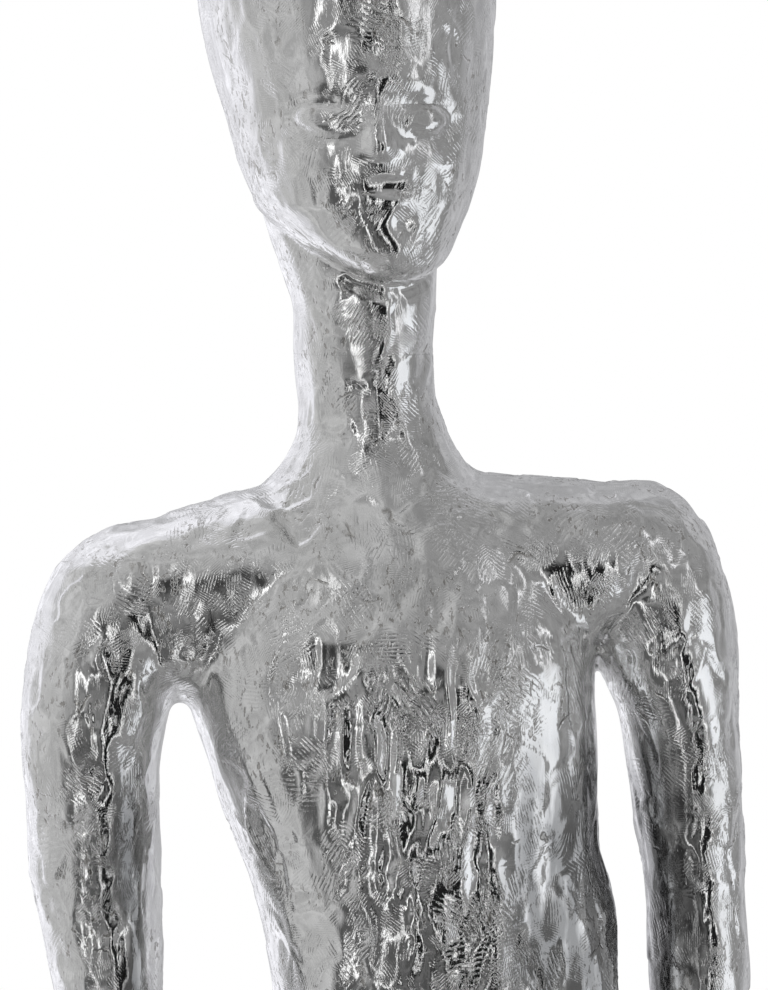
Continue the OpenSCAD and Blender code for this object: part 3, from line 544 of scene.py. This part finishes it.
# Plugs that close the CAD shells' holes while the skin is made, and are opened again later
WAIST_PLUG = cylinder(WAIST, UP, 54 * MM, -4 * MM, 4 * MM, PLUG_SIDES)
LEG_PLUGS = [
    cylinder(ROD_FOOT, UP, 18 * MM, SOLE_Z + 0.4 * MM, SOLE_Z + 8 * MM, PLUG_SIDES),
    cylinder(SET_SCREW_AT, BACKWARD, 8 * MM, set_hi.y, set_hi.y + 6 * MM, PLUG_SIDES),
    cylinder(PLUNGER_AT, TO_THE_RIGHT, 7 * MM, 0.095, 0.103, PLUG_SIDES),
]
LEG_HOLES = [
    cylinder(ROD_FOOT, UP, 13.5 * MM, 0, 41 * MM),
    cylinder(SET_SCREW_AT, BACKWARD, 5 * MM, set_lo.y, 0.12, 32),
    cylinder(PLUNGER_AT, TO_THE_RIGHT, 3.9 * MM, 0.08, 0.2, 32),
]
hips_top = node_part("hips_left_leg_shell", keep_above=WAIST.z - SKIRT)
torso_end = node_part("torso_shell", keep_below=WAIST.z + SKIRT)
upper = skin_of("upper", [node_part(n) for n in UPPER_PARTS] + [hips_top, WAIST_PLUG],
                UPPER_VOXEL)
lower = skin_of("lower", [node_part(n) for n in LOWER_PARTS] + [torso_end, WAIST_PLUG]
                + LEG_PLUGS, LOWER_VOXEL)
shape_skin(upper, UPPER_VOXEL)
shape_skin(lower, LOWER_VOXEL)

# The line between the right leg and the hips with the left leg, as (height, X)
LEG_GAP = [(-0.05, -0.004), (0.25, 0.002), (0.51, 0.0135), (0.68, 0.0235), (0.79, 0.0315),
           (0.842, 0.035)]
# Far corner of the space that holds the right leg
LEG_SIDE_X, LEG_BOTTOM_Z = -0.5, -0.05


def leg_region(offset):
    """The right leg's side of the cut at the thigh, moved out by the offset."""
    top = THIGH.z - offset
    outline = [(LEG_SIDE_X, LEG_BOTTOM_Z)]
    outline += [(x - offset, min(z, top)) for z, x in LEG_GAP] + [(LEG_SIDE_X, top)]
    return prism(outline)


def body_skin(name, source, steps, node, body):
    """A body's piece of the skin, cut from a half of the figure, in place of its CAD shell."""
    obj = link(name, source.data.copy())
    for operation, parts in steps:
        cut(obj, operation, parts)
    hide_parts(node)
    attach(obj, body)
    return obj


skins = [
    body_skin("skin_head", upper, [
        ("INTERSECT", [block(NECK, UP, HALF_GAP)]),
        ("DIFFERENCE", seat("head_turn", 1)),
    ], "head_shell", "head"),
    body_skin("skin_torso", upper, [
        ("INTERSECT", [block(WAIST, UP, HALF_GAP)]),
        ("DIFFERENCE", [block(NECK, UP, -HALF_GAP)]),
        ("DIFFERENCE", [arm_region(1, -HALF_GAP)]),
        ("DIFFERENCE", [arm_region(-1, -HALF_GAP)]),
        ("DIFFERENCE", seat("head_turn", -1) + seat("right_shoulder_turn", -1)
         + seat("left_shoulder_turn", -1) + seat("waist_twist", 1)),
    ], "torso_shell", "torso"),
]
for side_name, side in (("right", -1), ("left", 1)):
    wrist, shoulder = side_name + "_wrist_turn", side_name + "_shoulder_turn"
    skins.append(body_skin("skin_%s_arm" % side_name, upper, [
        ("INTERSECT", [arm_region(side, HALF_GAP, ARMPIT_CLEAR[side])]),
        ("DIFFERENCE", [block(joint_at(wrist), joint_axis(wrist), -HALF_GAP)]),
        ("DIFFERENCE", seat(shoulder, 1) + seat(wrist, -1)),
    ], side_name + "_arm_shell", side_name + "_arm"))
    skins.append(body_skin("skin_%s_hand" % side_name, upper, [
        ("INTERSECT", [arm_region(side, HALF_GAP)]),
        ("INTERSECT", [block(joint_at(wrist), joint_axis(wrist), HALF_GAP)]),
        ("DIFFERENCE", seat(wrist, 1)),
    ], side_name + "_hand", side_name + "_hand"))
skins.append(body_skin("skin_right_leg", lower, [
    ("INTERSECT", [leg_region(HALF_GAP)]),
    ("DIFFERENCE", seat("thigh_turn", 1)),
], "right_leg_shell", "right_leg"))
skins.append(body_skin("skin_hips", lower, [
    ("DIFFERENCE", [block(WAIST, UP, -HALF_GAP)]),
    ("DIFFERENCE", [leg_region(-HALF_GAP)]),
    ("DIFFERENCE", seat("waist_twist", -1) + seat("thigh_turn", -1) + LEG_HOLES),
], "hips_left_leg_shell", "hips"))
for source in (upper, lower):
    bpy.data.objects.remove(source)
for obj in skins:
    obj.data.shade_smooth()
    obj.data.set_sharp_from_angle(angle=math.radians(SHARP_ANGLE))
    print("skin", obj.name, len(obj.data.vertices), len(obj.data.polygons))


# ---- Materials ------------------------------------------------------------

MIDDLE = (0.5, 0.5, 0.5)
MIX_FACTOR, MIX_A, MIX_B, MIX_RESULT = 0, 6, 7, 2


class Tree:
    """A few short ways to build a node tree."""

    def __init__(self, tree):
        self.tree = tree
        self.tree.nodes.clear()

    def node(self, kind, **fields):
        """A new node with some of its fields set."""
        n = self.tree.nodes.new(kind)
        for key, value in fields.items():
            setattr(n, key, value)
        return n

    def put(self, value, socket):
        """Links an output to a socket, or sets a constant on it."""
        if hasattr(value, "is_output"):
            self.tree.links.new(value, socket)
        else:
            socket.default_value = value

    def math(self, op, a, b=0.0, c=0.0, clamp=False):
        n = self.node("ShaderNodeMath", operation=op, use_clamp=clamp)
        for value, socket in zip((a, b, c), n.inputs):
            self.put(value, socket)
        return n.outputs[0]

    def vec(self, op, a, b=(0, 0, 0), scale=None):
        n = self.node("ShaderNodeVectorMath", operation=op)
        self.put(a, n.inputs[0])
        self.put(b, n.inputs[1])
        if scale is not None:
            self.put(scale, n.inputs["Scale"])
        return n.outputs["Value" if op in ("DOT_PRODUCT", "LENGTH") else "Vector"]

    def noise(self, vector, size, detail=2.0, rough=0.5):
        """Noise from 0 to 1 with features about one size across."""
        n = self.node("ShaderNodeTexNoise")
        self.put(vector, n.inputs["Vector"])
        n.inputs["Scale"].default_value = 1 / size
        n.inputs["Detail"].default_value = detail
        n.inputs["Roughness"].default_value = rough
        return n.outputs["Fac"]

    def parts(self, vector):
        """The X, Y and Z of a vector."""
        n = self.node("ShaderNodeSeparateXYZ")
        self.put(vector, n.inputs[0])
        return n.outputs

    def noise_vector(self, vector, size):
        """A random offset, about half a unit each way."""
        n = self.node("ShaderNodeTexNoise")
        self.put(vector, n.inputs["Vector"])
        n.inputs["Scale"].default_value = 1 / size
        return self.vec("SUBTRACT", n.outputs["Color"], MIDDLE)

    def voronoi(self, vector, size, feature="F1"):
        n = self.node("ShaderNodeTexVoronoi", feature=feature)
        self.put(vector, n.inputs["Vector"])
        n.inputs["Scale"].default_value = 1 / size
        return n

    def span(self, value, lo, hi, out_lo=0.0, out_hi=1.0):
        """A smooth step of the value, from lo to hi."""
        n = self.node("ShaderNodeMapRange", interpolation_type="SMOOTHSTEP")
        for v, socket in zip((value, lo, hi, out_lo, out_hi), n.inputs):
            self.put(v, socket)
        return n.outputs[0]

    def mix(self, factor, a, b):
        n = self.node("ShaderNodeMix", data_type="RGBA")
        self.put(factor, n.inputs[MIX_FACTOR])
        self.put(a, n.inputs[MIX_A])
        self.put(b, n.inputs[MIX_B])
        return n.outputs[MIX_RESULT]


def material(name):
    """A new material with one main shader: (material, tree, shader)."""
    m = bpy.data.materials.new(name)
    m.use_nodes = True
    t = Tree(m.node_tree)
    shader = t.node("ShaderNodeBsdfPrincipled")
    out = t.node("ShaderNodeOutputMaterial")
    t.tree.links.new(shader.outputs[0], out.inputs[0])
    return m, t, shader


def bump(t, shader, height):
    """Fine relief, with the height in metres."""
    n = t.node("ShaderNodeBump")
    n.inputs["Strength"].default_value = 1.0
    n.inputs["Distance"].default_value = 1.0
    t.put(height, n.inputs["Height"])
    t.tree.links.new(n.outputs[0], shader.inputs["Normal"])


def comb_strokes(t, where, normal, patch, pitch, depth, share, seed):
    """Height of short parallel comb strokes that turn another way in every patch."""
    moved = t.vec("ADD", where, (seed * 0.37, seed * 0.61, seed * 0.13))
    cells = t.voronoi(moved, patch)
    random = cells.outputs["Color"]
    lean = t.vec("SUBTRACT", random, MIDDLE)
    aim = t.vec("NORMALIZE", t.vec("CROSS_PRODUCT", normal, lean))
    rel = t.vec("SUBTRACT", moved, cells.outputs["Position"])
    along = t.vec("DOT_PRODUCT", rel, aim)
    sway = t.math("MULTIPLY", t.noise(where, patch * 0.6, 2.0), 5.0)
    phase = t.math("MULTIPLY_ADD", along, 2 * math.pi / pitch, sway)
    wave = t.math("MULTIPLY_ADD", t.math("SINE", phase), 0.5, 0.5)
    groove = t.math("POWER", wave, 2.5)
    pick = t.node("ShaderNodeSeparateColor")
    t.put(random, pick.inputs[0])
    chosen = t.span(pick.outputs[1], 1 - share - 0.05, 1 - share + 0.05)
    inside = t.span(cells.outputs["Distance"], 0.64, 0.36)
    broken = t.span(t.noise(t.vec("ADD", where, (seed, 0, 0)), 5 * MM, 3.0, 0.6), 0.38, 0.60)
    mask = t.math("MULTIPLY", t.math("MULTIPLY", chosen, inside), broken)
    return t.math("MULTIPLY", t.math("MULTIPLY", groove, mask), -depth), mask


# Strength of the painted shade on the inner sides of the arms and down the left of the chest
ARM_PAINTED_SHADE, CHEST_PAINTED_SHADE = 0.88, 0.75


def painted_shade(t, where, normal):
    """Painted shade on the inner sides of the arms, and down the left of the chest, where the skin faces the arms.
    """
    x, _, z = t.parts(where)
    inward = t.math("MULTIPLY", t.parts(normal)[0], t.math("SIGN", x))
    aside = t.math("ABSOLUTE", x)
    low = t.span(z, 1.36, 1.28)
    streak = t.span(t.noise(t.vec("MULTIPLY", where, (1, 1, 0.22)), 11 * MM, 3.0, 0.55), 0.28, 0.52)
    arm = t.math("MULTIPLY", t.span(inward, 0.1, -0.35), t.span(aside, 0.13, 0.15))
    flank = t.math("MULTIPLY", t.span(x, 0.045, 0.075), t.span(x, 0.14, 0.11))
    amount = t.math("MAXIMUM", t.math("MULTIPLY", arm, ARM_PAINTED_SHADE),
                    t.math("MULTIPLY", flank, CHEST_PAINTED_SHADE))
    return t.math("MULTIPLY", t.math("MULTIPLY", amount, low), streak)


# Comb strokes of the skin: (patch, pitch, depth, share of the patches that have them, seed)
STROKES = [
    (24 * MM, 2.2 * MM, 0.14 * MM, 0.50, 1.0),
    (14 * MM, 1.6 * MM, 0.10 * MM, 0.45, 3.0),
    (33 * MM, 3.1 * MM, 0.20 * MM, 0.30, 5.0),
    (19 * MM, 1.3 * MM, 0.06 * MM, 0.60, 7.0),
]
DENT_DEPTH, NICK_DEPTH, CRACK_DEPTH, GRAIN_DEPTH = 0.9 * MM, 0.22 * MM, 0.35 * MM, 0.07 * MM
BRIGHT_SILVER = (0.92, 0.92, 0.92, 1)
DULL_SILVER = (0.82, 0.82, 0.815, 1)
OLD_DIRT = (0.40, 0.385, 0.36, 1)
# Dark grey of the painted shade on the inner arms and chest
PAINTED_SHADE_GREY = (0.17, 0.17, 0.17, 1)


def silver_skin():
    """Silvered lacquer: comb strokes, dents, nicks, cracks and grain, with dirt, and painted shade on the inner
    arms and down the chest.
    """
    m, t, shader = material("silver_skin")
    space = t.node("ShaderNodeTexCoord")
    where, normal = space.outputs["Object"], space.outputs["Normal"]
    height, marks = None, None
    for patch, pitch, depth, share, seed in STROKES:
        h, mask = comb_strokes(t, where, normal, patch, pitch, depth, share, seed)
        height = h if height is None else t.math("ADD", height, h)
        marks = mask if marks is None else t.math("MAXIMUM", marks, mask)
    half_tall = t.vec("MULTIPLY", where, (1, 1, 0.5))
    dents = t.math("MULTIPLY", t.noise(half_tall, 13 * MM, 1.0, 0.5), DENT_DEPTH)
    height = t.math("ADD", height, dents)
    pocked = t.span(t.noise(where, 31 * MM, 2.0), 0.46, 0.62)
    shift = t.vec("SCALE", t.noise_vector(where, 6 * MM), scale=2 * MM)
    flakes = t.vec("ADD", half_tall, shift)
    nicks = t.math("MULTIPLY", t.span(t.noise(flakes, 3.0 * MM, 2.5, 0.6), 0.56, 0.66), pocked)
    height = t.math("MULTIPLY_ADD", nicks, -NICK_DEPTH, height)
    bent = t.vec("ADD", where, t.vec("SCALE", t.noise_vector(where, 14 * MM), scale=9 * MM))
    rims = t.voronoi(bent, 29 * MM, "DISTANCE_TO_EDGE").outputs["Distance"]
    broken = t.span(t.noise(where, 17 * MM, 1.0), 0.62, 0.72)
    crack = t.math("MULTIPLY", t.span(rims, 0.035, 0.0), broken)
    height = t.math("MULTIPLY_ADD", crack, -CRACK_DEPTH, height)
    tall = t.vec("MULTIPLY", where, (1, 1, 0.4))
    grain = t.math("MULTIPLY", t.noise(tall, 1.6 * MM, 3.0, 0.6), GRAIN_DEPTH)
    bump(t, shader, t.math("ADD", height, grain))
    cloud = t.noise(where, 35 * MM, 3.0, 0.6)
    tone = t.mix(t.span(cloud, 0.35, 0.7), DULL_SILVER, BRIGHT_SILVER)
    pits = t.math("MULTIPLY", t.math("MAXIMUM", nicks, crack), 0.75)
    tone = t.mix(pits, tone, OLD_DIRT)
    # Painted shade: the skin turns dark grey on the inner sides of the arms and down the left of the chest
    tone = t.mix(painted_shade(t, where, normal), tone, PAINTED_SHADE_GREY)
    t.put(tone, shader.inputs["Base Color"])
    rough = t.span(t.noise(where, 16 * MM, 3.0, 0.6), 0.3, 0.7, 0.05, 0.13)
    rough = t.math("ADD", rough, t.math("MULTIPLY", marks, 0.03))
    t.put(rough, shader.inputs["Roughness"])
    shader.inputs["Metallic"].default_value = 1.0
    return m


def brushed(name, color, dark, rough, stretch):
    """Turned or brushed metal with fine lines, wear and fingerprints of tarnish."""
    m, t, shader = material(name)
    where = t.node("ShaderNodeTexCoord").outputs["Object"]
    lines = t.noise(t.vec("MULTIPLY", where, stretch), 0.9 * MM, 3.0, 0.6)
    cloud = t.noise(where, 30 * MM, 4.0, 0.6)
    spots = t.span(t.noise(where, 5 * MM, 4.0, 0.7), 0.6, 0.75)
    tone = t.mix(t.span(cloud, 0.35, 0.65), color, dark)
    tone = t.mix(t.math("MULTIPLY", spots, 0.5), tone, dark)
    t.put(tone, shader.inputs["Base Color"])
    t.put(t.math("ADD", t.span(cloud, 0.3, 0.7, rough - 0.06, rough + 0.08),
                 t.math("MULTIPLY", lines, 0.1)), shader.inputs["Roughness"])
    bump(t, shader, t.math("MULTIPLY", lines, 0.05 * MM))
    shader.inputs["Metallic"].default_value = 1.0
    return m


def rubber():
    """Matt black rubber with grain and dust."""
    m, t, shader = material("pad_rubber")
    where = t.node("ShaderNodeTexCoord").outputs["Object"]
    grain = t.noise(where, 1.4 * MM, 3.0, 0.6)
    dust = t.span(t.noise(where, 9 * MM, 3.0, 0.6), 0.5, 0.75)
    t.put(t.mix(dust, (0.02, 0.02, 0.02, 1), (0.09, 0.09, 0.085, 1)), shader.inputs["Base Color"])
    t.put(t.span(grain, 0.3, 0.7, 0.6, 0.85), shader.inputs["Roughness"])
    bump(t, shader, t.math("MULTIPLY", grain, 0.2 * MM))
    return m


def floor_material():
    """Plain pale floor with faint clouds and grain."""
    m, t, shader = material("floor")
    where = t.node("ShaderNodeTexCoord").outputs["Object"]
    tone = t.mix(t.noise(where, 0.6, 3.0), (0.80, 0.80, 0.80, 1), (0.84, 0.84, 0.84, 1))
    t.put(tone, shader.inputs["Base Color"])
    t.put(t.span(t.noise(where, 0.2, 3.0), 0.3, 0.7, 0.55, 0.7), shader.inputs["Roughness"])
    bump(t, shader, t.math("MULTIPLY", t.noise(where, 4 * MM, 3.0), 0.1 * MM))
    return m


# Brushed metals: (colour, darker colour, roughness, stretch of the brush lines)
METALS = {
    "base_steel": ((0.60, 0.60, 0.61, 1), (0.44, 0.44, 0.45, 1), 0.34, (1.0, 0.03, 1.0)),
    "fitting_steel": ((0.62, 0.62, 0.63, 1), (0.42, 0.42, 0.42, 1), 0.28, (0.1, 0.1, 1.0)),
    "dark_steel": ((0.16, 0.16, 0.17, 1), (0.07, 0.07, 0.07, 1), 0.38, (1.0, 1.0, 1.0)),
    "magnet_nickel": ((0.70, 0.68, 0.64, 1), (0.5, 0.48, 0.45, 1), 0.2, (1.0, 1.0, 1.0)),
}
MATERIALS = {"silver_skin": silver_skin()}
MATERIALS.update({name: brushed(name, *look) for name, look in METALS.items()})
MATERIALS["pad_rubber"] = rubber()
SLOT_OF = {s["node"]: s["material_slot"] for s in frame["record"]["subparts"]}
for name, obj in NODES.items():
    obj.data.materials.clear()
    obj.data.materials.append(MATERIALS[SLOT_OF[name]])
for obj in skins:
    obj.data.materials.clear()
    obj.data.materials.append(MATERIALS["silver_skin"])


# ---- Studio ---------------------------------------------------------------

# The camera stands where the photograph was taken from. The field is what it sees at the aim.
AIM = Vector((0.0012, 0.0, 1.474))
CAMERA_AZIMUTH, CAMERA_ELEVATION, CAMERA_DISTANCE = -8.0, 3.0, 2.8
FIELD_HEIGHT = 0.574
SENSOR = 36.0
FLOOR_RADIUS, FLOOR_DEPTH, FLOOR_DROP = 4.0, 20 * MM, 0.5 * MM
ROOM_GREY = (0.27, 0.27, 0.27, 1)
WHITE = (1, 1, 1, 1)
SIDE_CARD_AT, SIDE_CARD_HALF = Vector((1.9, -0.9, 0.85)), (0.55, 0.72)
SIDE_CARD_FACES_X = 0.1
SIDE_CARD_TONES = (0.86, 0.89, 0.95, 1), (0.98, 0.99, 1.0, 1)


def add_camera():
    """The camera at the photograph's viewing angle."""
    az, el = math.radians(CAMERA_AZIMUTH), math.radians(CAMERA_ELEVATION)
    back = Vector((math.sin(az) * math.cos(el), -math.cos(az) * math.cos(el), math.sin(el)))
    data = bpy.data.cameras.new("camera")
    data.sensor_width = SENSOR
    data.lens = SENSOR * CAMERA_DISTANCE / FIELD_HEIGHT
    data.clip_start, data.clip_end = 0.1, 60
    cam = bpy.data.objects.new("camera", data)
    bpy.context.scene.collection.objects.link(cam)
    cam.location = AIM + back * CAMERA_DISTANCE
    cam.rotation_mode = "QUATERNION"
    cam.rotation_quaternion = (-back).to_track_quat("-Z", "Y")
    bpy.context.scene.camera = cam


def card(t, azimuth, elevation, across, up, across_soft, up_soft, half_width, half_height):
    """Mask of a soft rectangle in the studio, by the direction it lies in, in degrees."""
    turn = t.math("SUBTRACT", azimuth, across)
    turn = t.math("ABSOLUTE", t.math("WRAP", turn, 180.0, -180.0))
    rise = t.math("ABSOLUTE", t.math("SUBTRACT", elevation, up))
    a = t.span(turn, half_width + across_soft, half_width - across_soft)
    b = t.span(rise, half_height + up_soft, half_height - up_soft)
    return t.math("MULTIPLY", a, b)


# The studio's soft cards and flags, as (across, up, half width, half height, softness across,
# softness up, grey, blue tint). Angles are in degrees: across is 0 where the camera stands and
# grows towards the figure's left. A later card covers an earlier one.
CARDS = [
    (0, 75, 180, 32, 1, 26, 0.31, 1.0),
    (-85, 25, 42, 90, 24, 24, 0.52, 1.0),
    (-20, 62, 45, 26, 24, 18, 0.47, 1.0),
    (-145, 5, 30, 80, 15, 22, 0.92, 1.05),
    (150, 0, 32, 80, 20, 20, 0.50, 1.03),
    (-22, -36, 26, 24, 9, 10, 0.10, 1.0),
    (21, -22, 17, 28, 5, 6, 0.012, 1.0),
    (-2, 12, 10, 8, 4, 4, 0.05, 1.0),
    (-20, -20, 3.0, 55, 1.6, 10, 1.3, 1.0),
    (63, 20, 3.0, 18, 2.0, 8, 1.2, 1.02),
    (38, -20, 1.6, 42, 1.0, 5, 1.5, 1.0),
    (15, -22, 1.7, 34, 1.0, 5, 1.4, 1.0),
]


def add_world():
    """White behind the figure, and a grey room with cards for its reflections and light."""
    world = bpy.data.worlds.new("studio")
    bpy.context.scene.world = world
    world.use_nodes = True
    t = Tree(world.node_tree)
    way = t.node("ShaderNodeTexCoord").outputs["Generated"]
    x, y, z = t.parts(way)
    turn = t.math("ARCTAN2", x, t.math("MULTIPLY", y, -1.0))
    azimuth = t.math("MULTIPLY_ADD", turn, 180 / math.pi, -CAMERA_AZIMUTH)
    elevation = t.math("MULTIPLY", t.math("ARCSINE", z), 180 / math.pi)
    tone = ROOM_GREY
    for across, up, half_w, half_h, soft_w, soft_h, grey, blue in CARDS:
        mask = card(t, azimuth, elevation, across, up, soft_w, soft_h, half_w, half_h)
        tone = t.mix(mask, tone, (grey, grey, grey * blue, 1))
    mottle = t.span(t.noise(way, 0.15, 3.0, 0.6), 0.30, 0.70, 0.72, 1.28)
    tone = t.vec("SCALE", tone, scale=mottle)
    room = t.node("ShaderNodeBackground")
    t.put(tone, room.inputs["Color"])
    room.inputs["Strength"].default_value = 1.0
    white = t.node("ShaderNodeBackground")
    white.inputs["Color"].default_value = WHITE
    white.inputs["Strength"].default_value = 1.0
    path = t.node("ShaderNodeLightPath")
    pick = t.node("ShaderNodeMixShader")
    t.put(path.outputs["Is Camera Ray"], pick.inputs[0])
    t.put(room.outputs[0], pick.inputs[1])
    t.put(white.outputs[0], pick.inputs[2])
    out = t.node("ShaderNodeOutputWorld")
    t.put(pick.outputs[0], out.inputs[0])


def add_floor():
    """A plain pale floor, which the silver skin doesn't reflect."""
    disc = cylinder(Vector((0, 0, 0)), UP, FLOOR_RADIUS, -FLOOR_DEPTH, -FLOOR_DROP, 96)
    floor = link("floor", mesh_from("floor", *disc))
    floor.data.materials.append(floor_material())
    floor.visible_glossy = False


def add_side_card():
    """A tall bright card at the figure's left, below the head, seen only in reflections."""
    half_w, half_h = SIDE_CARD_HALF
    target = Vector((SIDE_CARD_FACES_X, 0, SIDE_CARD_AT.z))
    rot = basis((target - SIDE_CARD_AT).normalized())
    corners = ((-1, -1), (1, -1), (1, 1), (-1, 1))
    pts = [SIDE_CARD_AT + rot @ Vector((x * half_w, y * half_h, 0)) for x, y in corners]
    card_obj = link("side_card", mesh_from("side_card", pts, [(0, 1, 2, 3)]))
    m = bpy.data.materials.new("side_card")
    m.use_nodes = True
    t = Tree(m.node_tree)
    glow = t.node("ShaderNodeEmission")
    where = t.node("ShaderNodeTexCoord").outputs["Object"]
    t.put(t.mix(t.noise(where, 0.5, 1.0), *SIDE_CARD_TONES), glow.inputs["Color"])
    glow.inputs["Strength"].default_value = 1.0
    out = t.node("ShaderNodeOutputMaterial")
    t.put(glow.outputs[0], out.inputs[0])
    card_obj.data.materials.append(m)
    card_obj.visible_camera = False
    card_obj.visible_diffuse = False


add_camera()
add_world()
add_floor()
add_side_card()
bpy.context.scene.view_settings.view_transform = "Standard"
